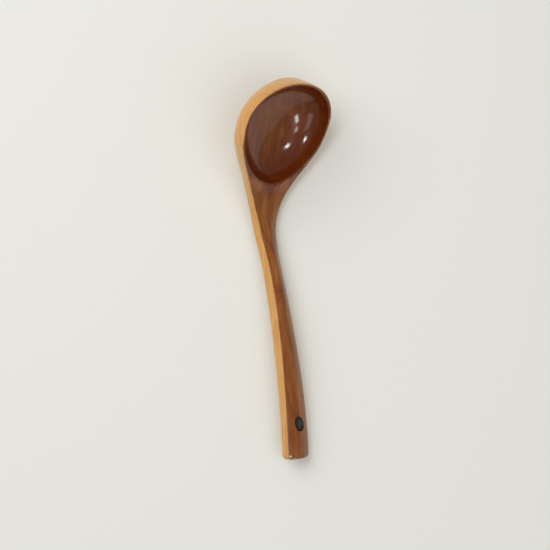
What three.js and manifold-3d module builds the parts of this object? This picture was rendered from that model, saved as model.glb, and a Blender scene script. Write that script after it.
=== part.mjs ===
// Two-tone lacquered wooden ladle, carved from one blank, with a small oval seal let into the handle.
// Millimetres, +Z up. The ladle lies on the plane z = 0 the way it comes to rest: rolled on to the right
// side of its bowl, with the bowl towards +Y and the handle end towards -Y.
//
// The body is drawn in its own upright frame first: x across, and a station s that runs along the top
// face from the tip of the bowl (s = 0) to the handle end. It is then laid down as one group.
import * as THREE from 'three';
import Module from 'manifold-3d';

// ---- lengths along the top face -----------------------------------------------------------------
const LENGTH = 286;
const BEND_START = 70; // the rim is flat up to here
const BEND_END = 133;
const NECK_ANGLE = 42.9; // degrees, handle against the rim plane just behind the neck
const END_ANGLE = 27.8; // degrees, the handle sags back to this at its end

// ---- plan outline: half width against station ---------------------------------------------------
const NOSE_LENGTH = 32; // the front of the bowl is half an ellipse of this length
const TIP_SHIFT = 2.5; // the bowl's tip is swung this far to the right
const TIP_SWEEP = 42; // station where that swing starts
const HALF_WIDTHS = [
  [NOSE_LENGTH, 40.4], [48, 38.4], [62, 32.0], [80, 21.3], [95, 13.7],
  [115, 8.0], [142, 6.2], [200, 7.9], [250, 9.9], [LENGTH, 10.4],
];
const END_CORNER = 3.2; // radius of the handle end's corners in plan

// ---- depth of the outside below the top face ----------------------------------------------------
const KEEL_STATION = 42; // deepest point of the bowl
const BOWL_DEPTH = 25;
const DEPTHS = [
  [KEEL_STATION, BOWL_DEPTH], [60, 22.6], [80, 15.7], [100, 10.7],
  [125, 9.4], [160, 10.2], [200, 10.4], [250, 9.4], [LENGTH, 9.0],
];
const NOSE_SQUARENESS = 4.2; // superellipse exponent of the underside in front of the keel
const SQUARENESS = [[0, 2.1], [40, 2.8], [80, 3.6], [120, 4.6], [150, 5]]; // the same across the body
const CROWN = 2.0; // the handle's top face stands this much higher in the middle
const ARRIS = 0.8; // broken edge between the top face and the sides

// ---- hollow of the bowl -------------------------------------------------------------------------
const RIM = 2.0;
const HOLLOW_WIDEST = 35; // station
const HOLLOW_HALF_WIDTH = 38.4;
const HOLLOW_END = 79.5; // station where the hollow runs out into the neck
const HOLLOW_DEPTH = 21;
const HOLLOW_SQUARENESS = 2.5; // superellipse exponent of the hollow's own section
const HOLLOW_HEEL_EXPONENT = 1.8; // below 2 draws the hollow out towards the neck

// ---- seal in the handle -------------------------------------------------------------------------
const GAP = 0.3;
const SEAL_STATION = 260.4;
const SEAL_ACROSS = 0.9; // right of the middle line
const SEAL_HALF_WIDTH = 3.6;
const SEAL_HALF_LENGTH = 5.4;
const SEAL_LEAN = 16; // degrees
const SEAL_RING = 1.0; // width of the ring
const SEAL_THICKNESS = 1.4;
const SEAL_PROUD = 0.15;

// ---- how the ladle lies -------------------------------------------------------------------------
const REST = { roll: 44.65, pitch: 27.19, yaw: -16.64 };

const STATIONS = 84;
const SECTION = 36; // steps round the underside
const TOP = 8; // steps across the top face

const wasm = await Module();
wasm.setup();

const radians = (degrees) => (degrees * Math.PI) / 180;
const smooth = (t) => t * t * (3 - 2 * t);
const ramp = (a, b, s) => smooth(Math.min(Math.max((s - a) / (b - a), 0), 1));

/** Monotone cubic through [station, value] pairs. */
function through(points, s) {
  const last = points.length - 1;
  if (s <= points[0][0]) return points[0][1];
  if (s >= points[last][0]) return points[last][1];
  const rise = (i) => (points[i + 1][1] - points[i][1]) / (points[i + 1][0] - points[i][0]);
  const slope = (i) => {
    if (i === 0 || i === last) return 0;
    const [before, after] = [rise(i - 1), rise(i)];
    return before * after <= 0 ? 0 : (2 * before * after) / (before + after);
  };
  const i = points.findIndex((point, k) => k < last && s < points[k + 1][0]);
  const span = points[i + 1][0] - points[i][0];
  const t = (s - points[i][0]) / span;
  return (
    points[i][1] * (1 - smooth(t)) +
    points[i + 1][1] * smooth(t) +
    span * (slope(i) * t * (1 - t) ** 2 - slope(i + 1) * t * t * (1 - t))
  );
}

/** Angle of the top face against the rim plane, in radians. */
function climb(s) {
  const bend = NECK_ANGLE * ramp(BEND_START, BEND_END, s);
  const sag = (END_ANGLE - NECK_ANGLE) * Math.max(0, (s - BEND_END) / (LENGTH - BEND_END));
  return radians(bend + sag);
}

/** Centre line of the top face, added up once in fine steps. */
const CENTRE_STEP = 0.5;
const centreLine = [[0, 0]];
for (let s = CENTRE_STEP; s <= LENGTH + 1e-9; s += CENTRE_STEP) {
  const angle = climb(s - CENTRE_STEP / 2);
  const [y, z] = centreLine[centreLine.length - 1];
  centreLine.push([y - CENTRE_STEP * Math.cos(angle), z + CENTRE_STEP * Math.sin(angle)]);
}

/** Point at station s, x across and h above the top face; towards the tip everything swings right. */
function place(x, s, h) {
  const across = x + TIP_SHIFT * Math.max(0, 1 - s / TIP_SWEEP) ** 2;
  const i = Math.min(Math.floor(s / CENTRE_STEP), centreLine.length - 2);
  const t = s / CENTRE_STEP - i;
  const y = centreLine[i][0] * (1 - t) + centreLine[i + 1][0] * t;
  const z = centreLine[i][1] * (1 - t) + centreLine[i + 1][1] * t;
  return [across, y + h * Math.sin(climb(s)), z + h * Math.cos(climb(s))];
}

function halfWidth(s) {
  if (s < NOSE_LENGTH) {
    return HALF_WIDTHS[0][1] * Math.sqrt(1 - (1 - s / NOSE_LENGTH) ** 2);
  }
  const past = Math.max(0, s - (LENGTH - END_CORNER));
  return through(HALF_WIDTHS, s) - END_CORNER + Math.sqrt(Math.max(0, END_CORNER ** 2 - past ** 2));
}

function depth(s) {
  if (s < KEEL_STATION) {
    return BOWL_DEPTH * (1 - (1 - s / KEEL_STATION) ** NOSE_SQUARENESS) ** (1 / NOSE_SQUARENESS);
  }
  return through(DEPTHS, s);
}

const crown = (s) => CROWN * ramp(85, 125, s);

/** One section of the blank, from the left arris under the body to the right one and back over the top. */
function section(s, inset = 0) {
  const w = halfWidth(s) - inset;
  const d = depth(s) - inset;
  const edge = Math.min(ARRIS, w * 0.2);
  const n = 2 / through(SQUARENESS, s);
  const points = [];
  for (let i = 0; i <= SECTION; i++) {
    const angle = (Math.PI * i) / SECTION;
    const x = -w * Math.sign(Math.cos(angle)) * Math.abs(Math.cos(angle)) ** n;
    const h = -edge - (d - edge) * Math.sin(angle) ** n;
    points.push(place(x, s, h));
  }
  for (let i = 0; i <= TOP; i++) {
    const across = 1 - (2 * i) / TOP;
    points.push(place((w - edge) * across, s, (crown(s) - inset) * (1 - across ** 2)));
  }
  return points;
}

/** Closed geometry from rings of equal length, each end closed on to a point. */
function loft(start, rings, end) {
  const size = rings[0].length;
  const vertices = [start, ...rings.flat(), end];
  const triangles = [];
  const lastRing = 1 + (rings.length - 1) * size;
  for (let i = 0; i < size; i++) {
    const next = (i + 1) % size;
    triangles.push(0, 1 + next, 1 + i);
    for (let a = 1; a < lastRing; a += size) {
      const b = a + size;
      triangles.push(a + i, a + next, b + next);
      triangles.push(a + i, b + next, b + i);
    }
    triangles.push(lastRing + i, lastRing + next, vertices.length - 1);
  }
  const geometry = new THREE.BufferGeometry();
  geometry.setAttribute('position', new THREE.Float32BufferAttribute(vertices.flat(), 3));
  geometry.setIndex(triangles);
  return geometry;
}

/** Manifold of a closed geometry. */
function solid(geometry) {
  return new wasm.Manifold(new wasm.Mesh({
    numProp: 3,
    vertProperties: new Float32Array(geometry.attributes.position.array),
    triVerts: new Uint32Array(geometry.index.array),
  }));
}

/** The carved blank before the bowl is hollowed: stations close up towards the tip. */
function blank() {
  const rings = [];
  for (let i = 1; i <= STATIONS; i++) {
    const t = i / STATIONS;
    rings.push(section((LENGTH - END_CORNER) * (0.45 * t + 0.55 * t * t)));
  }
  for (const back of [0.65, 0.4, 0.23]) rings.push(section(LENGTH - END_CORNER * back));
  rings.push(section(LENGTH, ARRIS));
  return solid(loft(place(0, 0, 0), rings, place(0, LENGTH, -depth(LENGTH) / 2)));
}

/** Edge of the hollow at one angle: a half ellipse in front, drawn out behind. */
function hollowEdge(angle) {
  const heel = Math.sin(angle) > 0;
  const n = heel ? 2 / HOLLOW_HEEL_EXPONENT : 1;
  const reach = heel ? HOLLOW_END - HOLLOW_WIDEST : HOLLOW_WIDEST - RIM;
  const x = HOLLOW_HALF_WIDTH * Math.sign(Math.cos(angle)) * Math.abs(Math.cos(angle)) ** n;
  const s = HOLLOW_WIDEST + reach * Math.sign(Math.sin(angle)) * Math.abs(Math.sin(angle)) ** n;
  return [x, s];
}

/** Cutter for the hollow: rings from a lid above the rim plane down to the deepest point. */
function hollow() {
  const around = 52;
  const rings = [];
  const ring = (scale, h) => {
    const points = [];
    for (let i = 0; i < around; i++) {
      const [x, s] = hollowEdge((2 * Math.PI * i) / around);
      points.push(place(x * scale, KEEL_STATION + (s - KEEL_STATION) * scale, h));
    }
    rings.push(points);
  };
  ring(1, 4);
  for (let i = 0; i < 13; i++) {
    const angle = (Math.PI / 2) * (i / 13);
    const n = 2 / HOLLOW_SQUARENESS;
    ring(Math.cos(angle) ** n, -HOLLOW_DEPTH * Math.sin(angle) ** n);
  }
  return solid(loft(place(0, KEEL_STATION, 4), rings, place(0, KEEL_STATION, -HOLLOW_DEPTH)));
}

/** Upright oval prism in the seal's own plane, from height low to height high over the crown. */
function oval(inset, low, high) {
  const around = 28;
  const base = climb(SEAL_STATION);
  const lean = radians(SEAL_LEAN);
  const [, cy, cz] = place(0, SEAL_STATION, CROWN);
  const at = (x, y, h) => [
    SEAL_ACROSS + x,
    cy + y * Math.cos(base) + h * Math.sin(base),
    cz - y * Math.sin(base) + h * Math.cos(base),
  ];
  const ring = (h) => Array.from({ length: around }, (_, i) => {
    const angle = (2 * Math.PI * i) / around;
    const x = (SEAL_HALF_WIDTH - inset) * Math.cos(angle);
    const y = (SEAL_HALF_LENGTH - inset) * Math.sin(angle);
    return at(x * Math.cos(lean) - y * Math.sin(lean), x * Math.sin(lean) + y * Math.cos(lean), h);
  });
  return solid(loft(at(0, 0, low), [ring(low), ring(high)], at(0, 0, high)));
}

/** Named mesh from a manifold. */
function mesh(name, manifold, material) {
  const { vertProperties, triVerts } = manifold.getMesh();
  const geometry = new THREE.BufferGeometry();
  geometry.setAttribute('position', new THREE.BufferAttribute(vertProperties, 3));
  geometry.setIndex(new THREE.BufferAttribute(triVerts, 1));
  geometry.computeVertexNormals();
  const piece = new THREE.Mesh(geometry, material);
  piece.name = name;
  return piece;
}

const lacqueredWood = new THREE.MeshStandardMaterial({ color: 0x8a5330, roughness: 0.3, metalness: 0 });
const blackEnamel = new THREE.MeshStandardMaterial({ color: 0x1d1815, roughness: 0.35, metalness: 0 });
const greyEnamel = new THREE.MeshStandardMaterial({ color: 0x4d4a47, roughness: 0.3, metalness: 0 });

const pocketFloor = SEAL_PROUD - SEAL_THICKNESS - GAP;
const body = blank().subtract(hollow()).subtract(oval(-GAP, pocketFloor, 4));
const sealRing = oval(0, SEAL_PROUD - SEAL_THICKNESS, SEAL_PROUD)
  .subtract(oval(SEAL_RING, -4, 4));
const sealDisc = oval(SEAL_RING + GAP, SEAL_PROUD - SEAL_THICKNESS, SEAL_PROUD);

const ladle = new THREE.Group();
ladle.add(mesh('ladle_body', body, lacqueredWood));
ladle.add(mesh('seal_ring', sealRing, blackEnamel));
ladle.add(mesh('seal_disc', sealDisc, greyEnamel));

// Roll on to the right side, then pitch, then turn, and let down on to the plane.
ladle.rotation.set(radians(REST.pitch), radians(REST.roll), radians(REST.yaw), 'ZXY');
ladle.updateMatrixWorld(true);
const box = new THREE.Box3().setFromObject(ladle, true);
ladle.position.set(-(box.min.x + box.max.x) / 2, -(box.min.y + box.max.y) / 2, -box.min.z);

const part = new THREE.Group();
part.name = 'ladle';
part.add(ladle);
part.updateMatrixWorld(true);

export default part;
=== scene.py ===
"""A carved wooden ladle in two lacquers, lying on its side the way it comes to rest.

The shape is worked out in the ladle's own upright millimetres and then laid down into the frame:
x runs across, a station s runs along the top face from the tip of the bowl, and h stands square to
the top face. Every surface is a function of two of these, evaluated on whole numpy grids.
"""

import logging
import math
from dataclasses import dataclass, field
from enum import Enum
from functools import partial
from typing import Any, Sequence

import bmesh
import bpy
import numpy as np
from mathutils import Matrix, Vector

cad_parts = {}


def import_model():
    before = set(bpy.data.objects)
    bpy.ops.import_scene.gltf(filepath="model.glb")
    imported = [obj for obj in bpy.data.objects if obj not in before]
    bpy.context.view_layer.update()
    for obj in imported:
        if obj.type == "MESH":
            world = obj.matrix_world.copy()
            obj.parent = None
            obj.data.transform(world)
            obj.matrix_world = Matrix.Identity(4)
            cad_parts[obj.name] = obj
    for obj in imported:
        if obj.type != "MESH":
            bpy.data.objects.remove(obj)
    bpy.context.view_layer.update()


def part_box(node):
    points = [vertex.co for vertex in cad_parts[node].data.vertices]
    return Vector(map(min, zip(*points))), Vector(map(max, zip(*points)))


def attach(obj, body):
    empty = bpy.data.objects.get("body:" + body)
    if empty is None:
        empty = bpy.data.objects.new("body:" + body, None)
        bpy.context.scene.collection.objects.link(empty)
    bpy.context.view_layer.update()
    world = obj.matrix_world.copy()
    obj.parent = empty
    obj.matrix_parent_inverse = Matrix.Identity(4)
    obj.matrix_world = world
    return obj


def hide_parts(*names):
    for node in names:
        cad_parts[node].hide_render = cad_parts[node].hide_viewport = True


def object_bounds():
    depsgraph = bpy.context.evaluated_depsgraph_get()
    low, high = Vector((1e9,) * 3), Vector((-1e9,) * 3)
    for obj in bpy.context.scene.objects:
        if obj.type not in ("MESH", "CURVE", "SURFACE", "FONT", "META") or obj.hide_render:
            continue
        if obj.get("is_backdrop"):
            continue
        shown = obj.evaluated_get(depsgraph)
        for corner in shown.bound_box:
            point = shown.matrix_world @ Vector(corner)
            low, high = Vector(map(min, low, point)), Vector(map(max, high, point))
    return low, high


log = logging.getLogger("ladle")
Array = np.ndarray
Table = Sequence[tuple[float, float]]
Socket = bpy.types.NodeSocket
Tree = bpy.types.NodeTree
Piece = bpy.types.Object
MM = 0.001
WELD = 2e-6  # metres: points nearer than this are one point
SLIVER = 1e-7  # metres: edges shorter than this are dissolved
AT_END = 0.65  # arris distance held over the handle's end: stained, and worn like an arris
BY_SEAL = 6.0  # arris distance round the seal, well inside the top face
IN_HOLLOW = 30.0  # arris distance at the hollow's edge, past any on the handle
HOLLOW_FALL = 10.0  # how much further it grows down to the hollow's bottom


# ---- small mathematics ------------


def ramp(low: float, high: float, s: Array | float) -> Array:
    """Smooth step from 0 at low to 1 at high: 3t^2 - 2t^3 of the clipped fraction t.

    Args:
        low: Where the step starts.
        high: Where it ends.
        s: Places to work it out at.

    Returns:
        The step at each place.
    """
    t = np.clip((np.asarray(s, float) - low) / (high - low), 0.0, 1.0)
    return t * t * (3.0 - 2.0 * t)


def through(points: Table, s: Array | float) -> Array:
    """Monotone cubic through (station, value) pairs, with harmonic-mean slopes and flat ends.

    Args:
        points: The pairs, in order of station.
        s: Stations to work it out at; past the ends the end values hold.

    Returns:
        The value at each station.
    """
    x, y = np.array(points, float).T
    rise = np.diff(y) / np.diff(x)
    before, after = rise[:-1], rise[1:]
    same = before * after > 0
    slope = np.zeros_like(x)
    slope[1:-1][same] = 2 * (before * after)[same] / (before + after)[same]
    s = np.clip(s, x[0], x[-1])
    i = np.clip(np.searchsorted(x, s, side="right") - 1, 0, len(x) - 2)
    span = x[i + 1] - x[i]
    t = (s - x[i]) / span
    step = t * t * (3 - 2 * t)
    bulge = slope[i] * t * (1 - t) ** 2 - slope[i + 1] * t * t * (1 - t)
    return y[i] * (1 - step) + y[i + 1] * step + span * bulge


def quarter_round(radius: float, height: Array) -> Array:
    """How far a rounded edge stands back from its sharp corner.

    The edge is a quarter circle, so at a distance below the corner it stands back by
    r - sqrt(r^2 - (r - distance)^2), and by nothing from one radius on.

    Args:
        radius: The circle's radius.
        height: Distances from the corner.

    Returns:
        The set-back at each distance.
    """
    left = np.clip(radius - np.asarray(height, float), 0.0, radius)
    return radius - np.sqrt(radius**2 - left**2)


# ---- form ------------


@dataclass(frozen=True)
class RestPose:
    """Angles in degrees that lay the upright ladle on its side: roll, then pitch, then yaw."""

    roll: float = 44.65
    pitch: float = 27.19
    yaw: float = -16.64

    def turn(self) -> Array:
        """Turns the ladle's upright axes to the frame's.

        Returns:
            The rotation matrix.
        """
        roll, pitch, yaw = (math.radians(a) for a in (self.roll, self.pitch, self.yaw))
        turned = Matrix.Rotation(yaw, 3, "Z") @ Matrix.Rotation(pitch, 3, "X")
        return np.array(turned @ Matrix.Rotation(roll, 3, "Y"))


@dataclass(frozen=True)
class LadleForm:
    """The ladle's driving sizes in millimetres, and the surfaces they make."""

    length: float = 286.0
    bend_start: float = 70.0
    bend_end: float = 133.0
    neck_angle: float = 42.9
    end_angle: float = 27.8
    nose_length: float = 32.0
    tip_shift: float = 2.5
    tip_sweep: float = 42.0
    half_widths: Table = (
        (32, 40.4), (48, 38.4), (62, 32.0), (80, 21.3), (95, 13.7),
        (115, 8.0), (142, 6.2), (200, 7.9), (250, 9.9), (286, 10.4),
    )
    end_corner: float = 3.2
    keel_station: float = 42.0
    bowl_depth: float = 25.0
    depths: Table = (
        (42, 25.0), (60, 22.6), (80, 15.7), (100, 10.7),
        (125, 9.4), (160, 10.2), (200, 10.4), (250, 9.4), (286, 9.0),
    )
    nose_squareness: float = 4.2
    squarenesses: Table = ((0, 2.1), (40, 2.8), (80, 3.6), (120, 4.6), (150, 5))
    crown_height: float = 2.0
    crown_start: float = 85.0
    crown_end: float = 125.0
    arris: float = 0.8
    rim: float = 2.0
    hollow_widest: float = 35.0
    hollow_half_width: float = 38.4
    hollow_end: float = 79.5
    hollow_depth: float = 21.0
    hollow_squareness: float = 2.5
    hollow_samples: int = 2881
    heel_exponent: float = 1.8
    lip: float = 0.7
    skin: float = 0.1
    pose: RestPose = RestPose()

    def climb(self, s: Array | float) -> Array:
        """Angle of the top face against the rim plane: one smooth bend, then a straight-line sag.

        Args:
            s: Stations along the top face.

        Returns:
            The angle at each, in radians.
        """
        s = np.asarray(s, float)
        bend = self.neck_angle * ramp(self.bend_start, self.bend_end, s)
        past = np.clip((s - self.bend_end) / (self.length - self.bend_end), 0.0, None)
        return np.radians(bend + (self.end_angle - self.neck_angle) * past)

    def place(self, x: Array | float, s: Array | float, h: Array | float) -> Array:
        """Upright point at x across, station s and height h square to the top face.

        The centre line is the running sum of the climb's cosine and sine in half-millimetre steps.
        In front of the sweep station everything swings right by the square of the way to the tip.

        Args:
            x: Distance across.
            s: Station along the top face.
            h: Height over the top face.

        Returns:
            Points with a last axis of three.
        """
        step = 0.5
        ends = np.arange(0.0, self.length + step / 2, step)
        angle = self.climb(ends[1:] - step / 2)
        line_y = np.concatenate([[0.0], -np.cumsum(step * np.cos(angle))])
        line_z = np.concatenate([[0.0], np.cumsum(step * np.sin(angle))])
        y = np.interp(s, ends, line_y) + h * np.sin(self.climb(s))
        z = np.interp(s, ends, line_z) + h * np.cos(self.climb(s))
        swing = self.tip_shift * np.clip(1.0 - np.asarray(s, float) / self.tip_sweep, 0.0, 1.0) ** 2
        return np.stack(np.broadcast_arrays(x + swing, y, z), axis=-1).astype(float)

    def half_width(self, s: Array | float) -> Array:
        """Half width of the plan outline: half an ellipse in front, then the table, then round corners.

        Args:
            s: Stations along the top face.

        Returns:
            The half width at each.
        """
        s = np.asarray(s, float)
        nose = np.clip(1.0 - s / self.nose_length, 0.0, 1.0)
        front = (self.half_widths[0][1] - self.skin) * np.sqrt(1.0 - nose**2)
        past = np.clip(s - (self.length - self.end_corner), 0.0, self.end_corner)
        corner = self.end_corner - np.sqrt(self.end_corner**2 - past**2)
        return np.where(s < self.nose_length, front, through(self.half_widths, s) - self.skin - corner)

    def depth(self, s: Array | float) -> Array:
        """Depth of the keel below the top face: a superellipse in front of the keel, then the table.

        Args:
            s: Stations along the top face.

        Returns:
            The depth at each.
        """
        s = np.asarray(s, float)
        n = self.nose_squareness
        ahead = np.clip(1.0 - s / self.keel_station, 0.0, 1.0)
        front = self.bowl_depth * (1.0 - ahead**n) ** (1.0 / n)
        deep = np.where(s < self.keel_station, front, through(self.depths, s))
        return deep - self.skin * (front > self.arris)

    def end_drop(self, s: Array | float) -> Array:
        """How far the edges of the end face are rounded back at a station."""
        return quarter_round(self.arris, self.length - np.asarray(s, float))

    def crown(self, x: Array, s: Array) -> Array:
        """Height of the top face over the line between its edges: a parabola that grows past the neck.

        Args:
            x: Distances across.
            s: Stations along the top face.

        Returns:
            The height at each place.
        """
        across = x / (self.half_width(s) - self.arris)
        rise = self.crown_height * ramp(self.crown_start, self.crown_end, s)
        return rise * (1.0 - across**2) - self.end_drop(s)

    def underside(self, x: Array, s: Array) -> Array:
        """Height of the outside under the arris: |x/w|^n + |h/d|^n = 1 across each station.

        Args:
            x: Distances across.
            s: Stations along the top face.

        Returns:
            The height at each place, always below zero.
        """
        n = through(self.squarenesses, s)
        ratio = np.clip(np.abs(x) / np.maximum(self.half_width(s), 1e-9), 0.0, 1.0)
        drop = self.end_drop(s)
        full = np.maximum(self.depth(s) - self.arris - 2.0 * drop, 0.0)
        return -drop - self.arris - full * (1.0 - ratio**n) ** (1.0 / n)

    def hollow_edge(self) -> tuple[Array, Array]:
        """Edge of the hollow about the keel: half an ellipse in front, drawn out to a heel behind.

        Returns:
            Angles about the keel point, increasing, and the edge's distance at each.
        """
        turn = np.linspace(0.0, 2.0 * np.pi, self.hollow_samples)
        c, t = np.cos(turn), np.sin(turn)
        n = np.where(t > 0, 2.0 / self.heel_exponent, 1.0)
        reach = np.where(t > 0, self.hollow_end - self.hollow_widest, self.hollow_widest - self.rim)
        x = self.hollow_half_width * np.sign(c) * np.abs(c) ** n
        s = self.hollow_widest + reach * np.sign(t) * np.abs(t) ** n - self.keel_station
        order = np.argsort(np.arctan2(s, x))
        return np.arctan2(s, x)[order], np.hypot(x, s)[order]

    def grain_axes(self) -> Array:
        """Turns the grain's own axes into the frame's.

        Returns:
            Rows that point along the plank, across it, and through it.
        """
        chord = self.place(0, 0, 0) - self.place(0, self.length, 0)
        along = chord / np.linalg.norm(chord)
        across = np.array([1.0, 0.0, 0.0])
        return np.stack([along, across, np.cross(along, across)]) @ self.pose.turn().T


@dataclass(frozen=True)
class SealForm:
    """The oval inlay's sizes in millimetres. Heights are over the middle of the handle's crown."""

    station: float = 260.4
    across: float = 0.9
    half_width: float = 3.6
    half_length: float = 5.4
    lean: float = 16.0
    ring: float = 1.0
    gap: float = 0.3
    thickness: float = 1.4
    proud: float = 0.15

    def oval(self, inset: Array | float, turn: Array) -> tuple[Array, Array]:
        """Plan offsets of the leaning oval, drawn in by an inset.

        Args:
            inset: Distance inside the outer oval.
            turn: Angle round the oval, 0 at +x.

        Returns:
            Offsets across and along the station direction from the seal's centre.
        """
        x = (self.half_width - inset) * np.cos(turn)
        y = (self.half_length - inset) * np.sin(turn)
        lean = math.radians(self.lean)
        return x * math.cos(lean) - y * math.sin(lean), -(x * math.sin(lean) + y * math.cos(lean))


# ---- meshes ------------


class Face(Enum):
    """Which lacquer a patch of the body belongs under, as a sign for distances from the arris."""

    TOP = 1.0
    SIDE = -1.0


@dataclass
class Patch:
    """One grid of points: rows by columns by three, with each point's distance from the arris."""

    points: Array
    from_arris: Array
    wrap: bool = False
    skip: tuple[int, int, int, int] | None = None

    def quads(self, start: int) -> Array:
        """Corner indices of the grid's quads.

        Args:
            start: Index of the patch's first point in the whole mesh.

        Returns:
            One row of four indices for each quad, without the ones inside the skipped window.
        """
        rows, columns = self.points.shape[:2]
        index = start + np.arange(rows * columns).reshape(rows, columns)
        if self.wrap:
            index = np.concatenate([index, index[:, :1]], axis=1)
        quads = np.stack([index[:-1, :-1], index[:-1, 1:], index[1:, 1:], index[1:, :-1]], axis=-1)
        keep = np.ones(quads.shape[:2], bool)
        if self.skip:
            low_row, high_row, low_column, high_column = self.skip
            keep[low_row:high_row, low_column:high_column] = False
        return quads[keep]


@dataclass
class Fan:
    """A ring of points closed on to one middle point."""

    ring: Array
    middle: Array
    from_arris: float

    def triangles(self, start: int) -> Array:
        """Corner indices of the fan's triangles, with the middle point after the ring's.

        Args:
            start: Index of the ring's first point in the whole mesh.

        Returns:
            One row of three indices for each triangle.
        """
        i = np.arange(len(self.ring))
        last = np.full_like(i, len(self.ring))
        return start + np.stack([i, np.roll(i, -1), last], axis=-1)


def lay_down(form: LadleForm, points: Array) -> Array:
    """Upright millimetres to the frame's metres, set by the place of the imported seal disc.

    Args:
        form: The ladle's form, for its pose.
        points: Upright points.

    Returns:
        The same points where the ladle lies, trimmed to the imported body's box.
    """
    seal = SealForm()
    turn = form.pose.turn()
    height = form.crown_height + seal.proud - seal.thickness / 2.0
    angle = form.climb(seal.station)
    centre = form.place(seal.across, seal.station, form.crown_height)
    centre = centre + (height - form.crown_height) * np.array([0, math.sin(angle), math.cos(angle)])
    low, high = (np.array(corner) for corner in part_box("seal_disc"))
    laid = points @ turn.T * MM + ((low + high) / 2.0 - turn @ centre * MM)
    low, high = (np.array(corner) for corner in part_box("ladle_body"))
    return np.clip(laid, low, high)


def make_object(name: str, patches: Sequence[Patch | Fan], form: LadleForm) -> Piece:
    """Joins patches into one closed, smooth object.

    Args:
        name: Name of the new object.
        patches: Grids and fans in upright millimetres that meet edge to edge.
        form: The ladle's form, to lay the points down by.

    Returns:
        The linked object, with its seams merged, its faces outwards and an arris distance on it.
    """
    points: list[Array] = []
    distances: list[Array] = []
    faces: list[list[int]] = []
    start = 0
    for patch in patches:
        if isinstance(patch, Patch):
            flat = patch.points.reshape(-1, 3)
            distance = patch.from_arris.reshape(-1)
            faces += patch.quads(start).tolist()
        else:
            flat = np.concatenate([patch.ring, patch.middle[None]])
            distance = np.full(len(flat), patch.from_arris)
            faces += patch.triangles(start).tolist()
        points.append(flat)
        distances.append(distance)
        start += len(flat)
    mesh = bpy.data.meshes.new(name)
    mesh.from_pydata(lay_down(form, np.concatenate(points)).tolist(), [], faces)
    layer = mesh.attributes.new("from_arris", "FLOAT", "POINT")
    layer.data.foreach_set("value", np.concatenate(distances).astype(np.float32))
    welded = bmesh.new()
    welded.from_mesh(mesh)
    bmesh.ops.remove_doubles(welded, verts=welded.verts, dist=WELD)
    bmesh.ops.dissolve_degenerate(welded, edges=welded.edges, dist=SLIVER)
    bmesh.ops.recalc_face_normals(welded, faces=welded.faces)
    open_edges = sum(not edge.is_manifold for edge in welded.edges)
    welded.to_mesh(mesh)
    welded.free()
    mesh.shade_smooth()
    piece = bpy.data.objects.new(name, mesh)
    bpy.context.scene.collection.objects.link(piece)
    log.info("%s: %d open edges", name, open_edges)
    return piece


# ---- finishes ------------


def linear(colour: str) -> tuple[float, float, float, float]:
    """sRGB hex to linear RGBA by the standard curve.

    Args:
        colour: Six hex digits after a hash.

    Returns:
        Linear red, green, blue and full alpha.
    """
    levels = (int(colour[i : i + 2], 16) / 255.0 for i in (1, 3, 5))
    red, green, blue = (v / 12.92 if v <= 0.04045 else ((v + 0.055) / 1.055) ** 2.4 for v in levels)
    return red, green, blue, 1.0


def add_node(
    tree: Tree,
    kind: str,
    links: dict[Any, Any],
    output: int | str = 0,
    stops: Sequence[tuple[float, str]] = (),
    **settings: Any,
) -> Socket:
    """Adds one shader node with its settings, its values, its links and its colour stops.

    Args:
        tree: The node tree.
        kind: Blender's name for the kind of node.
        links: Input name or index, to a socket that feeds it or to a value set on it.
        output: Name or index of the output wanted.
        stops: For a colour ramp, two or more rising places with their sRGB hex colours.
        **settings: Properties set on the node itself.

    Returns:
        The output wanted.
    """
    node = tree.nodes.new(kind)
    for name, value in settings.items():
        setattr(node, name, value)
    for i, (place, colour) in enumerate(stops):
        on_ramp = node.color_ramp.elements
        stop = on_ramp[i] if i < len(on_ramp) else on_ramp.new(place)
        stop.position, stop.color = place, linear(colour)
    for socket, value in links.items():
        if isinstance(value, Socket):
            tree.links.new(value, node.inputs[socket])
        else:
            node.inputs[socket].default_value = value
    return node.outputs[output]


@dataclass(frozen=True)
class Streak:
    """How far a noise is drawn out: millimetres along and across the grain, and its octaves."""

    along: float
    across: float
    octaves: float


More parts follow.
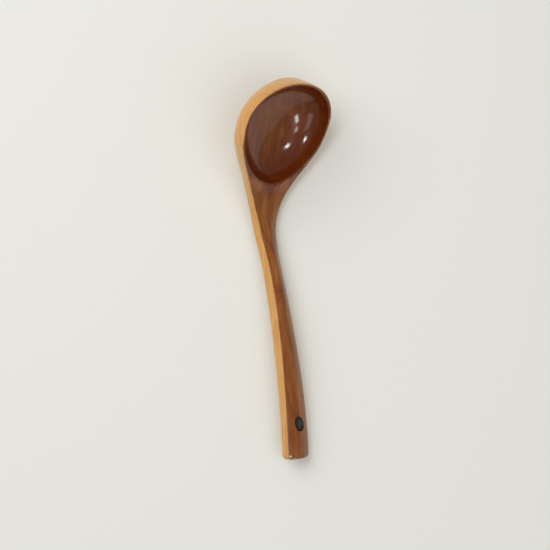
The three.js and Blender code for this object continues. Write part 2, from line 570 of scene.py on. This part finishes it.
@dataclass(frozen=True)
class TwoToneLacquer:
    """Straight-grained pale hardwood, sanded and lacquered in two tones.

    Reddish-brown stain under the gloss darkens the hollow and the top face almost evenly, with the
    grain only just showing. The hollow's upper walls also carry a darker painted shade that fades
    out down to its lighter floor. The sides and the outside are clear, so there the pale wood's rings,
    fibres and short pores show warm and golden. Both are dipped in one thick clear gloss.
    """

    stain: str = "#955522"
    stain_deep: str = "#7f4217"
    stain_warm: str = "#a86b33"
    stained_fibre: str = "#a89c94"
    stained_late: str = "#c9bdb4"
    hollow: str = "#87430d"
    hollow_deep: str = "#713208"
    hollow_warm: str = "#9c5916"
    # painted shade: the darker colour laid over the hollow's upper walls, fading out towards its floor
    hollow_wall_painted_shade: str = "#6c2a0b"
    pale: str = "#d49b50"
    pale_light: str = "#dba55b"
    pale_late: str = "#ce944b"
    pale_fibre: str = "#d3bfa9"
    pore: str = "#ab733a"
    clear: str = "#ffffff"
    ring_mm: float = 5.2
    ring_wander: float = 4.0
    pith: tuple[float, float, float] = (0.0, 0.07, 0.04)
    taper: float = 0.04
    slow_size: Streak = Streak(90.0, 14.0, 2.0)
    fibre_size: Streak = Streak(26.0, 0.45, 4.0)
    pore_size: Streak = Streak(7.0, 0.35, 1.0)
    flame_size: Streak = Streak(60.0, 6.0, 3.0)
    edge_size: Streak = Streak(9.0, 3.0, 3.0)
    edge_wander_mm: float = 0.6
    figure: float = 0.5
    ripple: float = 0.12
    ripple_mm: float = 0.1
    roughness: float = 0.36
    base_gloss: float = 0.05
    film_roughness: float = 0.12
    worn_roughness: float = 0.3
    film_ior: float = 1.5

    def material(self, grain_axes: Array) -> bpy.types.Material:
        """Builds the node material.

        Args:
            grain_axes: Rows that point along, across and through the plank.

        Returns:
            The material, on Object coordinates turned to the grain and on the arris distance.
        """
        made = bpy.data.materials.new("two_tone_gloss_lacquer_on_pale_hardwood")
        made.use_nodes = True
        tree = made.node_tree
        add = partial(add_node, tree)
        where = add("ShaderNodeTexCoord", {}, "Object")
        turned = Matrix(grain_axes.tolist()).to_euler()
        plank = add("ShaderNodeMapping", {"Vector": where, "Rotation": turned})

        # Fibres are drawn about twice as wide as real ones so that they show at this size.
        sizes = (self.slow_size, self.fibre_size, self.pore_size, self.flame_size, self.edge_size)
        slow, fibres, pores, flame, wander = (self._stretched(tree, plank, size) for size in sizes)
        rings = self._rings(tree, plank, slow)
        coats: dict[str, Any] = {
            name: add("ShaderNodeValToRGB", {"Fac": value}, stops=stops)
            for name, value, stops in (
                ("pale", rings, (
                    (0.0, self.pale_light), (0.62, self.pale), (0.93, self.pale_late), (1.0, self.pale),
                )),
                ("pale fibres", fibres, ((0.3, self.pale_fibre), (0.62, self.clear))),
                ("stain", flame, ((0.25, self.stain_deep), (0.5, self.stain), (0.78, self.stain_warm))),
                ("stained fibres", fibres, ((0.3, self.stained_fibre), (0.6, self.clear))),
                ("stained rings", rings, ((0.4, self.clear), (1.0, self.stained_late))),
                ("hollow", flame, (
                    (0.25, self.hollow_deep), (0.5, self.hollow), (0.78, self.hollow_warm),
                )),
            )
        }
        # The hollow's wall colour is painted shade, not a stain of its own.
        coats |= {"pore": linear(self.pore), "hollow wall painted shade": linear(self.hollow_wall_painted_shade)}

        # The stain stops at the arris along a line that wanders by a few tenths of a millimetre.
        distance = add("ShaderNodeAttribute", {}, "Fac", attribute_name="from_arris")
        swing = {0: wander, 1: self.edge_wander_mm, 2: -self.edge_wander_mm / 2.0}
        edge = add("ShaderNodeMath", swing, operation="MULTIPLY_ADD")
        moved = add("ShaderNodeMath", {0: distance, 1: edge}, operation="ADD")
        from_edge = add("ShaderNodeMath", {0: distance}, operation="ABSOLUTE")
        masks = {
            name: add(
                "ShaderNodeMapRange",
                {"Value": value, "From Min": low, "From Max": high, "To Max": top},
                interpolation_type="SMOOTHSTEP",
            )
            for name, value, low, high, top in (
                ("pore", pores, 0.66, 0.8, 0.3),
                # painted shade on the hollow's upper walls, gone by the hollow's floor
                ("hollow wall painted shade", distance, IN_HOLLOW + HOLLOW_FALL - 0.2, IN_HOLLOW + HOLLOW_FALL / 2, 0.8),
                ("hollow", distance, 12.0, 24.0, 1.0),
                ("stain", moved, 0.0, 0.35, 1.0),
                ("worn", from_edge, 1.1, 0.5, 1.0),
            )
        }
        for under, blend, over, amount in (
            ("pale", "MULTIPLY", "pale fibres", self.figure),
            ("pale", "MIX", "pore", masks["pore"]),
            # lays the painted shade over the hollow's upper walls
            ("hollow", "MIX", "hollow wall painted shade", masks["hollow wall painted shade"]),
            ("stain", "MIX", "hollow", masks["hollow"]),
            ("stain", "MULTIPLY", "stained fibres", self.figure),
            ("stain", "MULTIPLY", "stained rings", self.figure),
            ("pale", "MIX", "stain", masks["stain"]),
        ):
            layers = {0: amount, 6: coats[under], 7: coats[over]}
            coats[under] = add("ShaderNodeMix", layers, 2, data_type="RGBA", blend_type=blend)

        shader = tree.nodes["Principled BSDF"]
        tree.links.new(coats["pale"], shader.inputs["Base Color"])
        # The film is thick, so the fibres telegraph through it only as a faint ripple.
        raised = {"Height": fibres, "Strength": self.ripple, "Distance": self.ripple_mm * MM}
        bump = add("ShaderNodeBump", raised)
        tree.links.new(bump, shader.inputs["Normal"])
        # The film is rubbed dull along the arrises. The export drops a linked coat roughness.
        rubbed = {0: masks["worn"], 1: self.worn_roughness, 2: self.film_roughness}
        film = add("ShaderNodeMath", rubbed, operation="MULTIPLY_ADD")
        tree.links.new(film, shader.inputs["Coat Roughness"])
        for name, level in (
            ("Roughness", self.roughness),
            ("IOR", self.film_ior),
            ("Specular IOR Level", self.base_gloss),
            ("Coat Weight", 1.0),
            ("Coat IOR", self.film_ior),
        ):
            shader.inputs[name].default_value = level
        return made

    def _stretched(self, tree: Tree, plank: Socket, size: Streak) -> Socket:
        """Noise drawn out along the grain.

        Args:
            tree: The node tree.
            plank: Coordinates turned to the grain, in metres.
            size: How far it is drawn out.

        Returns:
            The noise's value.
        """
        scale = (1.0 / MM / size.along, 1.0 / MM / size.across, 1.0 / MM / size.across)
        sized = add_node(tree, "ShaderNodeMapping", {"Vector": plank, "Scale": scale})
        settings = {"Vector": sized, "Scale": 1.0, "Detail": size.octaves}
        return add_node(tree, "ShaderNodeTexNoise", settings, "Fac")

    def _rings(self, tree: Tree, plank: Socket, slow: Socket) -> Socket:
        """Growth rings: tubes about a pith 80 mm away, drawn out along it and wandering slowly.

        Args:
            tree: The node tree.
            plank: Coordinates turned to the grain, in metres.
            slow: A slow noise that sways the rings.

        Returns:
            The fraction of the way through a ring, rising slowly and falling at once.
        """
        add = partial(add_node, tree)
        placed = {"Vector": plank, "Location": self.pith, "Scale": (self.taper, 1.0, 1.0)}
        flat = add("ShaderNodeMapping", placed)
        radius = add("ShaderNodeVectorMath", {0: flat}, "Value", operation="LENGTH")
        count = add("ShaderNodeMath", {0: radius, 1: 1.0 / MM / self.ring_mm}, operation="MULTIPLY")
        moved = {0: slow, 1: self.ring_wander, 2: count}
        swayed = add("ShaderNodeMath", moved, operation="MULTIPLY_ADD")
        return add("ShaderNodeMath", {0: swayed}, operation="FRACT")


@dataclass(frozen=True)
class InlayResin:
    """Pigmented casting resin, rubbed down and polished: dark, even and glossy, with fine scuffs."""

    slot: str
    colour: str
    fleck: str
    roughness: float
    scuff_mm: float = 0.5
    scuff: float = 0.2
    scuff_depth_mm: float = 0.05
    ior: float = 1.5

    def material(self) -> bpy.types.Material:
        """Builds the node material on Object coordinates.

        Returns:
            The material, named for the polish and the slot.
        """
        made = bpy.data.materials.new(f"polished_{self.slot}")
        made.use_nodes = True
        tree = made.node_tree
        shader = tree.nodes["Principled BSDF"]
        where = add_node(tree, "ShaderNodeTexCoord", {}, "Object")
        sized = {"Vector": where, "Scale": 1.0 / MM / self.scuff_mm, "Detail": 3.0}
        scuffs = add_node(tree, "ShaderNodeTexNoise", sized, "Fac")
        stops = ((0.35, self.colour), (0.7, self.fleck))
        tone = add_node(tree, "ShaderNodeValToRGB", {"Fac": scuffs}, stops=stops)
        tree.links.new(tone, shader.inputs["Base Color"])
        ripple = {"Height": scuffs, "Strength": self.scuff, "Distance": self.scuff_depth_mm * MM}
        tree.links.new(add_node(tree, "ShaderNodeBump", ripple), shader.inputs["Normal"])
        shader.inputs["Roughness"].default_value = self.roughness
        shader.inputs["IOR"].default_value = self.ior
        return made


# ---- sub-assemblies ------------


@dataclass
class CarvedBody:
    """The one-piece wooden body: underside, top face and hollow, each its own grid."""

    form: LadleForm
    seal: SealForm
    finish: TwoToneLacquer = TwoToneLacquer()
    row_mm: float = 1.1
    under_columns: int = 58
    arris_columns: int = 6
    top_columns: int = 32
    hollow_rings: int = 40
    land_rings: int = 8
    outline_samples: int = 60001
    neck_station: float = 95.0
    keel_foot: float = 40.0
    tip_reach: float = 20.0
    under_crowding: float = 0.8
    hollow_crowding: float = 1.7
    window_margin: tuple[float, float] = (2.2, 2.4)
    pocket_edge: float = 0.15
    pocket_drops: tuple[float, float] = (0.6, 1.0)
    edge_steps: int = 5
    apron_rows: int = 6
    end_band: tuple[float, float] = (1.6, 0.9)
    # Painted shade: how far the stain is carried over the right arris, and the stations it grows in over.
    right_arris_painted_shade_mm: float = 0.9
    right_arris_painted_shade_from: tuple[float, float] = (12.0, 34.0)
    rim_colour_to: tuple[float, float] = (66.0, 82.0)
    rim_colour_in: tuple[float, float] = (0.4, 1.2)
    stations: Array = field(init=False)
    neck_row: int = field(init=False)

    def __post_init__(self) -> None:
        """Spaces the rows evenly along the outline, with one of them exactly at the neck station."""
        length = self.form.length
        s = length * np.linspace(0.0, 1.0, self.outline_samples) ** 2
        s = np.sort(np.concatenate([s, length - (length - s)[::-1] ** 2 / length]))
        run = np.concatenate([[0.0], np.cumsum(np.hypot(np.diff(self.form.half_width(s)), np.diff(s)))])
        neck = np.interp(self.neck_station, s, run)
        before = np.linspace(0.0, neck, round(neck / self.row_mm) + 1)
        after = np.linspace(neck, run[-1], round((run[-1] - neck) / self.row_mm) + 1)
        self.stations = np.interp(np.concatenate([before, after[1:]]), run, s)
        self.neck_row = len(before) - 1

    def build(self) -> Piece:
        """Builds the body's mesh from its patches.

        Returns:
            The body, not yet dressed.
        """
        under = self.underside()
        handle, window = self.handle_top()
        bowl = self.bowl_top()
        pocket = self.seal_pocket(window)
        end = self.end_face(under, handle)
        return make_object("carved_body", [under, handle, *bowl, *pocket, end], self.form)

    def dress(self, piece: Piece) -> None:
        """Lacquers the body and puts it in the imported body's place.

        Args:
            piece: The body that build made.
        """
        piece.data.materials.append(self.finish.material(self.form.grain_axes()))
        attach(piece, "root")
        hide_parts("ladle_body")

    def _rows(self) -> tuple[Array, Array, Array]:
        """Lays out the rows of the underside in plan.

        Returns:
            Where each row meets the outline and the keel, and the unit way between.
        """
        s = self.stations
        w = self.form.half_width(s)
        keel, neck = self.keel_foot, self.neck_station
        fraction = np.clip(s / neck, 0.0, 1.0)
        foot = np.where(s < neck, keel + (neck - keel) * fraction ** (neck / (neck - keel)), s)
        length = np.hypot(w, foot - s)
        return w, foot, np.stack([w / length, (foot - s) / length])

    def underside(self) -> Patch:
        """The outside, from the left arris under the body to the right one.

        Each row runs in plan from the outline to the keel. The plan fraction is
        1 - cos(a)^(2/n), with a crowded towards the outline, so that the steep wall is as finely
        divided as the flat keel; the height then follows from the form's superellipse. Above it
        the arris is a quarter circle, standing back by r(1 - sin b) at a drop of r(1 - cos b).

        Returns:
            The patch. The stain runs over its end; over its right arris it runs a little as painted
            shade, darker than the pale left arris.
        """
        form, s = self.form, self.stations[:, None]
        w, foot, inward = self._rows()
        squarer = form.nose_squareness - form.squarenesses[0][1]
        n = through(form.squarenesses, s) + squarer * (1.0 - ramp(0.0, self.tip_reach, s))
        u = np.linspace(0.0, 1.0, self.under_columns + 1)[None, :]
        fraction = 1.0 - np.cos(np.pi / 2.0 * u ** (self.under_crowding * n)) ** (2.0 / n)
        fraction[:, -1] = 1.0
        x = w[:, None] * (1.0 - fraction)
        station = s + (foot[:, None] - s) * fraction
        h = form.underside(x, station)
        from_arris = Face.SIDE.value * (-h - form.end_drop(station))

        bend = np.linspace(0.0, np.pi / 2.0, self.arris_columns + 1)[None, :-1]
        back = form.arris * (1.0 - np.sin(bend))
        round_x = np.maximum(w[:, None] - back * inward[0][:, None], 0.0)
        round_s = s + back * inward[1][:, None]
        round_h = -form.arris * (1.0 - np.cos(bend)) - form.end_drop(round_s)
        share = np.broadcast_to(bend / (np.pi / 2.0), round_h.shape)
        round_from = form.arris * (Face.TOP.value * 0.5 * (1.0 - share) + Face.SIDE.value * share)

        over_end = ramp(form.length - self.end_band[0], form.length - self.end_band[1], station)
        from_arris = from_arris * (1.0 - over_end) + AT_END * over_end
        x, station, h, from_arris = (
            np.concatenate([first, second], axis=1)
            for first, second in (
                (round_x, x), (round_s, station), (round_h, h), (round_from, from_arris),
            )
        )
        x, station, h, from_arris = (
            np.concatenate([side * sign, side[:, -2::-1]], axis=1)
            for side, sign in ((x, -1.0), (station, 1.0), (h, 1.0), (from_arris, 1.0))
        )
        right = slice(from_arris.shape[1] // 2 + 1, None)
        # Painted shade: the stain is carried over the right arris behind the bowl's tip, while the left
        # arris stays pale.
        from_arris[:, right] += self.right_arris_painted_shade_mm * ramp(*self.right_arris_painted_shade_from, station[:, right])
        return Patch(form.place(x, station, h), from_arris)

    def _edge(self) -> tuple[Array, Array]:
        """Inner line of the rounded arris on the top face.

        Returns:
            Distances across and stations, for the right-hand side.
        """
        w, _, inward = self._rows()
        return w - self.form.arris * inward[0], self.stations + self.form.arris * inward[1]

    def handle_top(self) -> tuple[Patch, tuple[int, int, int, int]]:
        """The crowned top face behind the neck, with a window left open round the seal.

        Returns:
            The patch, and the window's first and last row and column.
        """
        edge_x, edge_s = (line[self.neck_row :, None] for line in self._edge())
        c = np.linspace(-1.0, 1.0, self.top_columns + 1)[None, :]
        x = edge_x * c
        s = np.broadcast_to(edge_s, x.shape)
        beside, beyond = self.window_margin
        rows = np.flatnonzero(np.abs(s[:, 0] - self.seal.station) < self.seal.half_length + beyond)
        columns = np.flatnonzero(np.abs(x[rows[0]] - self.seal.across) < self.seal.half_width + beside)
        window = (rows[0], rows[-1], columns[0], columns[-1])
        inside = (1.0 - np.abs(c)) * edge_x
        inside = np.minimum(inside, self.form.length - s + AT_END - self.form.arris * 0.5)
        from_arris = Face.TOP.value * (inside + self.form.arris * 0.5)
        return Patch(self.form.place(x, s, self.form.crown(x, s)), from_arris, skip=window), window

    def bowl_top(self) -> list[Patch | Fan]:
        """The rim and the hollow, on rays from the keel point out to the arris and the neck.

        The hollow is a superellipse: depth * sin(a)^(2/n) at the fraction cos(a)^(2/n) of each ray.
        Its lip is rounded outwards by a quarter circle.

        Returns:
            The hollow, the rim with the land behind it, and the hollow's middle.
        """
        form = self.form
        edge_x, edge_s = (line[: self.neck_row + 1] for line in self._edge())
        c = np.linspace(-1.0, 1.0, self.top_columns + 1)[1:-1]
        x = np.concatenate([-edge_x[:0:-1], edge_x, edge_x[-1] * c[::-1]])
        s = np.concatenate([edge_s[:0:-1], edge_s, np.full(len(c), edge_s[-1])]) - form.keel_station
        radius = np.hypot(x, s)
        angles, reaches = form.hollow_edge()
        rim = np.interp(np.arctan2(s, x), angles, reaches, period=2.0 * np.pi)
        out_x, out_s = x / radius, s / radius

        outward = np.linspace(0.0, 1.0, self.hollow_rings + 1)[1:, None]
        a = np.pi / 2.0 * (1.0 - outward) ** self.hollow_crowding
        n = 2.0 / form.hollow_squareness
        depth = form.hollow_depth * np.sin(a) ** n
        reach = rim * np.cos(a) ** n + quarter_round(form.lip, depth)
        hollow = form.place(out_x * reach, form.keel_station + out_s * reach, -depth)

        t = np.linspace(0.0, 1.0, self.land_rings + 1)[:, None]
        reach = (rim + form.lip) * (1.0 - t) + radius * t
        land_x, land_s = out_x * reach, form.keel_station + out_s * reach
        land = form.place(land_x, land_s, form.crown(land_x, land_s))
        inside = np.broadcast_to((radius - reach) + form.arris * 0.5, land.shape[:2]).copy()
        behind = slice(len(x) - len(c), None)
        inside[:, behind] += (edge_x[-1] * (1.0 - np.abs(c[::-1])))[None, :]
        # The land in front of the neck takes the hollow's stain, and with it the painted shade of the
        # hollow's upper walls.
        by_bowl = 1.0 - ramp(*self.rim_colour_to, land_s)
        inside += IN_HOLLOW * by_bowl * ramp(*self.rim_colour_in, inside)
        deep = IN_HOLLOW + HOLLOW_FALL * np.broadcast_to(depth / form.hollow_depth, hollow.shape[:2])
        middle = form.place(0.0, form.keel_station, -form.hollow_depth)
        return [
            Patch(hollow, deep, wrap=True),
            Patch(land, inside, wrap=True),
            Fan(hollow[0], middle, IN_HOLLOW + HOLLOW_FALL),
        ]

    def seal_pocket(self, window: tuple[int, int, int, int]) -> list[Patch | Fan]:
        """The recess for the seal: in from the square window, down the oval wall, and the floor.

        Args:
            window: First and last row and column of the opening in the top face.

        Returns:
            The apron round the oval, the wall and the floor.
        """
        form, seal = self.form, self.seal
        r0, r1, c0, c1 = window
        edge_x, edge_s = (line[self.neck_row :] for line in self._edge())
        c = np.linspace(-1.0, 1.0, self.top_columns + 1)
        loop = np.concatenate([
            np.stack([edge_x[r0] * c[c0:c1], np.full(c1 - c0, edge_s[r0])]),
            np.stack([edge_x[r0:r1] * c[c1], edge_s[r0:r1]]),
            np.stack([edge_x[r1] * c[c1:c0:-1], np.full(c1 - c0, edge_s[r1])]),
            np.stack([edge_x[r1:r0:-1] * c[c0], edge_s[r1:r0:-1]]),
        ], axis=1)
        lean = math.radians(seal.lean)
        dx, dy = loop[0] - seal.across, seal.station - loop[1]
        own_x = dx * math.cos(lean) + dy * math.sin(lean)
        own_y = dy * math.cos(lean) - dx * math.sin(lean)
        turn = np.arctan2(own_y / seal.half_length, own_x / seal.half_width)
        soft = self.pocket_edge
        oval_x, oval_s = seal.oval(-seal.gap - soft, turn)
        t = np.linspace(0.0, 1.0, self.apron_rows + 1)[:, None]
        x = loop[0] * (1.0 - t) + (seal.across + oval_x) * t
        s = loop[1] * (1.0 - t) + (seal.station + oval_s) * t
        apron = form.place(x, s, form.crown(x, s))

        floor = form.crown_height + seal.proud - seal.thickness - seal.gap
        rounded = soft * (1.0 - np.cos(np.linspace(0.0, np.pi / 2, self.edge_steps)))
        drop = np.concatenate([rounded, self.pocket_drops])[:, None]
        inset = -seal.gap - quarter_round(soft, drop)
        wall_x, wall_s = seal.oval(inset, turn)
        wall_x = wall_x + seal.across
        top = form.crown(wall_x, seal.station + wall_s)
        share = np.clip((drop - soft) / (1.0 - soft), 0.0, 1.0)
        height = (top - drop) * (1.0 - share) + floor * share
        wall = form.place(wall_x, seal.station + wall_s, height)
        middle = form.place(seal.across, seal.station, floor)
        return [
            Patch(apron, np.full(apron.shape[:2], BY_SEAL), wrap=True),
            Patch(wall, np.full(wall.shape[:2], BY_SEAL), wrap=True),
            Fan(wall[-1], middle, BY_SEAL),
        ]

    def end_face(self, under: Patch, handle: Patch) -> Fan:
        """The flat end of the handle.

        Args:
            under: The underside.
            handle: The top face behind the neck.

        Returns:
            A fan on the last rows of the two.
        """
        ring = np.concatenate([handle.points[-1], under.points[-1][-2:0:-1]])
        middle = self.form.place(0.0, self.form.length, -self.form.depth(self.form.length) / 2.0)
        return Fan(ring, middle, AT_END)


@dataclass
class OvalSeal:
    """The inlaid oval: a black ring round a dark grey disc with three plain grooves."""

    form: LadleForm
    seal: SealForm
    ring_resin: InlayResin = InlayResin("black_resin", "#100c0a", "#1c1613", 0.28)
    disc_resin: InlayResin = InlayResin("grey_resin", "#1c1a18", "#393533", 0.24)
    around: int = 128
    edge: float = 0.12
    edge_steps: int = 5
    disc_steps: int = 26
    groove_pitch: float = 1.15
    groove_bow: float = 0.18
    groove_depth: float = 0.12
    groove_bend: float = 0.9
    groove_side: tuple[float, float] = (0.12, 0.3)
    groove_oval: tuple[float, float] = (2.3, 4.0)
    groove_fade: tuple[float, float] = (0.55, 0.8)

    def build(self) -> list[Piece]:
        """Builds the ring and the disc."""
        return [self.ring(), self.disc()]

    def dress(self, ring: Piece, disc: Piece) -> None:
        """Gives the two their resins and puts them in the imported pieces' places.

        Args:
            ring: The ring that build made.
            disc: The disc that build made.
        """
        pieces = ((ring, self.ring_resin, "seal_ring"), (disc, self.disc_resin, "seal_disc"))
        for piece, resin, node in pieces:
            piece.data.materials.append(resin.material())
            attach(piece, "root")
            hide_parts(node)

    def _carry(self, inset: Array, height: Array) -> Array:
        """Carries a profile round the oval, in the seal's own flat plane.

        Args:
            inset: The profile's distances inside the outer oval.
            height: Its heights over the crown, in one column or one for each place round.

        Returns:
            Upright points, one row for each point of the profile.
        """
        turn = np.linspace(0.0, 2.0 * np.pi, self.around, endpoint=False)[None, :]
        x, along = self.seal.oval(inset[:, None], turn)
        x = x + self.seal.across
        form, angle = self.form, self.form.climb(self.seal.station)
        centre = form.place(0.0, self.seal.station, form.crown_height)
        h = np.broadcast_to(height[:, None] if height.ndim == 1 else height, x.shape)
        y = centre[1] - along * np.cos(angle) + h * np.sin(angle)
        z = centre[2] + along * np.sin(angle) + h * np.cos(angle)
        return np.stack([x, y, z], axis=-1)

    def ring(self) -> Piece:
        """The ring: a closed section with softened edges, carried once round the oval.

        Returns:
            The ring, not yet dressed.
        """
        top, wide = self.seal.proud, self.seal.ring
        low = top - self.seal.thickness
        bow = np.linspace(0.0, np.pi / 2.0, self.edge_steps)
        back, down = self.edge * (1 - np.cos(bow)), self.edge * (1 - np.sin(bow))
        inset = np.concatenate([[0.0], back, wide - back[::-1], [wide, 0.0]])
        height = np.concatenate([[low], top - down, top - down[::-1], [low, low]])
        section = self._carry(inset, height)
        patch = Patch(section, np.zeros(section.shape[:2]), wrap=True)
        return make_object("inlaid_ring", [patch], self.form)

    def disc(self) -> Piece:
        """The disc: a softened edge, and three plain grooves that follow its length.

        Returns:
            The disc, not yet dressed.
        """
        seal, e = self.seal, self.edge
        low, outer = seal.proud - seal.thickness, seal.ring + seal.gap
        bow = np.linspace(0.0, np.pi / 2.0, self.edge_steps)
        flat = np.linspace(0.0, 1.0, self.disc_steps)[1:-1] * (seal.half_width - outer - e)
        inset = outer + np.concatenate([[0.0], e * (1 - np.cos(bow)), e + flat])
        height = np.concatenate([[low], seal.proud - e * (1 - np.sin(bow)), np.full(len(flat), seal.proud)])
        turn = np.linspace(0.0, 2.0 * np.pi, self.around, endpoint=False)[None, :]
        x = (seal.half_width - inset[:, None]) * np.cos(turn)
        y = (seal.half_length - inset[:, None]) * np.sin(turn)
        across = (x - self.groove_bow * np.cos(y * self.groove_bend)) / self.groove_pitch
        line = 1.0 - ramp(*self.groove_side, np.abs(across - np.round(across)))
        out = np.hypot(x / self.groove_oval[0], y / self.groove_oval[1])
        within = (1.0 - ramp(*self.groove_fade, out)) * (inset[:, None] > outer + e)
        groove = self.groove_depth * within * line
        points = self._carry(inset, height[:, None] - groove)
        under = self._carry(np.array([outer]), np.array([low]))
        centre = points[-1].mean(axis=0)
        patches = [
            Patch(points, np.zeros(points.shape[:2]), wrap=True),
            Fan(points[-1], centre, 0.0),
            Fan(under[0], under[0].mean(axis=0), 0.0),
        ]
        return make_object("inlaid_disc", patches, self.form)


# ---- studio ------------


class Lamp(Enum):
    """Each light: direction from the bowl, distance and size in metres, and power in watts."""

    KEY = ((-0.52, 0.36, 0.78), 1.7, 1.7, 1.7, 23.0)
    FILL = ((0.28, -0.38, 0.88), 1.8, 1.7, 1.7, 12.0)
    LOW_RIGHT = ((-0.15, -0.165, 0.975), 0.5, 0.12, 0.045, 0.42)
    LOW_LEFT = ((0.589, -0.321, 0.742), 6.0, 0.42, 1.0, 34.0)
    LONG_LEFT = ((0.59, -0.76, 0.345), 1.3, 0.10, 0.32, 1.4)
    LONG_LEFT_END = ((0.52, -0.60, 0.585), 1.3, 0.08, 0.20, 0.42)
    LONG_RIGHT = ((0.00, -0.73, 0.68), 1.3, 0.42, 0.80, 1.4)


@dataclass
class Studio:
    """Plain pale floor, plain soft light and a camera almost straight above."""

    floor_colour: str = "#e5e6e1"
    floor_half_side: float = 2.5
    floor_roughness: float = 0.9
    floor_gloss: float = 0.2
    sky_colour: tuple[float, float, float, float] = (1.0, 0.96, 0.87, 1.0)
    sky_strength: float = 0.29
    bowl: tuple[float, float, float] = (0.0, 0.09, 0.03)
    direction: tuple[float, float, float] = (-0.0305, -0.0771, 0.9966)
    aim_mm: tuple[float, float, float] = (-5.94, -4.86, 34.87)
    distance: float = 1.0907
    lens: float = 98.18

    def floor(self) -> None:
        """Lays the floor at the height of the ladle's lowest point, in a smooth matt white."""
        line = np.linspace(-self.floor_half_side, self.floor_half_side, 3)
        x, y = np.meshgrid(line, line, indexing="ij")
        points = np.stack([x, y, np.zeros_like(x)], axis=-1)
        mesh = bpy.data.meshes.new("floor")
        mesh.from_pydata(points.reshape(-1, 3).tolist(), [], Patch(points, x).quads(0)[:, ::-1].tolist())
        floor = bpy.data.objects.new("floor", mesh)
        bpy.context.scene.collection.objects.link(floor)
        paper = bpy.data.materials.new("matt_white_card")
        paper.use_nodes = True
        shader = paper.node_tree.nodes["Principled BSDF"]
        shader.inputs["Base Color"].default_value = linear(self.floor_colour)
        shader.inputs["Roughness"].default_value = self.floor_roughness
        shader.inputs["Specular IOR Level"].default_value = self.floor_gloss
        mesh.materials.append(paper)
        floor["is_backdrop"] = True

    def lights(self) -> None:
        """Sets an even sky, two big soft lights, and five small ones that are only mirrored."""
        world = bpy.data.worlds.new("even_sky")
        world.use_nodes = True
        sky = world.node_tree.nodes["Background"]
        sky.inputs["Color"].default_value = self.sky_colour
        sky.inputs["Strength"].default_value = self.sky_strength
        bpy.context.scene.world = world
        bpy.context.scene.view_settings.view_transform = "Standard"
        for lamp in Lamp:
            way, distance, width, height, power = lamp.value
            data = bpy.data.lights.new(lamp.name.lower(), "AREA")
            data.shape = "RECTANGLE"
            data.size, data.size_y, data.energy = width, height, power
            light = bpy.data.objects.new(data.name, data)
            light.location = Vector(self.bowl) + Vector(way).normalized() * distance
            light.rotation_euler = Vector(way).to_track_quat("Z", "Y").to_euler()
            soft = lamp in (Lamp.KEY, Lamp.FILL)
            light.visible_glossy, light.visible_diffuse = not soft, soft
            light.visible_camera = False
            bpy.context.scene.collection.objects.link(light)

    def camera(self) -> None:
        """Puts the camera on its line of sight, with the ladle's length upright in the picture."""
        low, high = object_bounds()
        middle = (Vector(low) + Vector(high)) / 2.0
        back = Vector(self.direction).normalized()
        right = Vector((0.0, 1.0, 0.0)).cross(back).normalized()
        up = back.cross(right)
        aim = Vector((middle.x, middle.y, 0.0)) + Vector(self.aim_mm) * MM
        data = bpy.data.cameras.new("camera")
        data.lens = self.lens
        camera = bpy.data.objects.new("camera", data)
        turn = Matrix((right, up, back)).transposed().to_4x4()
        camera.matrix_world = Matrix.Translation(aim + back * self.distance) @ turn
        bpy.context.scene.collection.objects.link(camera)
        bpy.context.scene.camera = camera


def main() -> None:
    """Loads the frame, builds and dresses each sub-assembly, and sets up the studio."""
    logging.basicConfig(level=logging.INFO, format="%(name)s: %(message)s")
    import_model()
    form, seal_form = LadleForm(), SealForm()
    studio = Studio()
    studio.camera()
    body = CarvedBody(form, seal_form)
    carved = body.build()
    body.dress(carved)
    seal = OvalSeal(form, seal_form)
    ring, disc = seal.build()
    seal.dress(ring, disc)
    for piece in (carved, ring, disc):
        finish = piece.data.materials[0].name
        log.info("%s: %d faces, %s", piece.name, len(piece.data.polygons), finish)
    studio.floor()
    studio.lights()


if __name__ == "__main__":
    main()
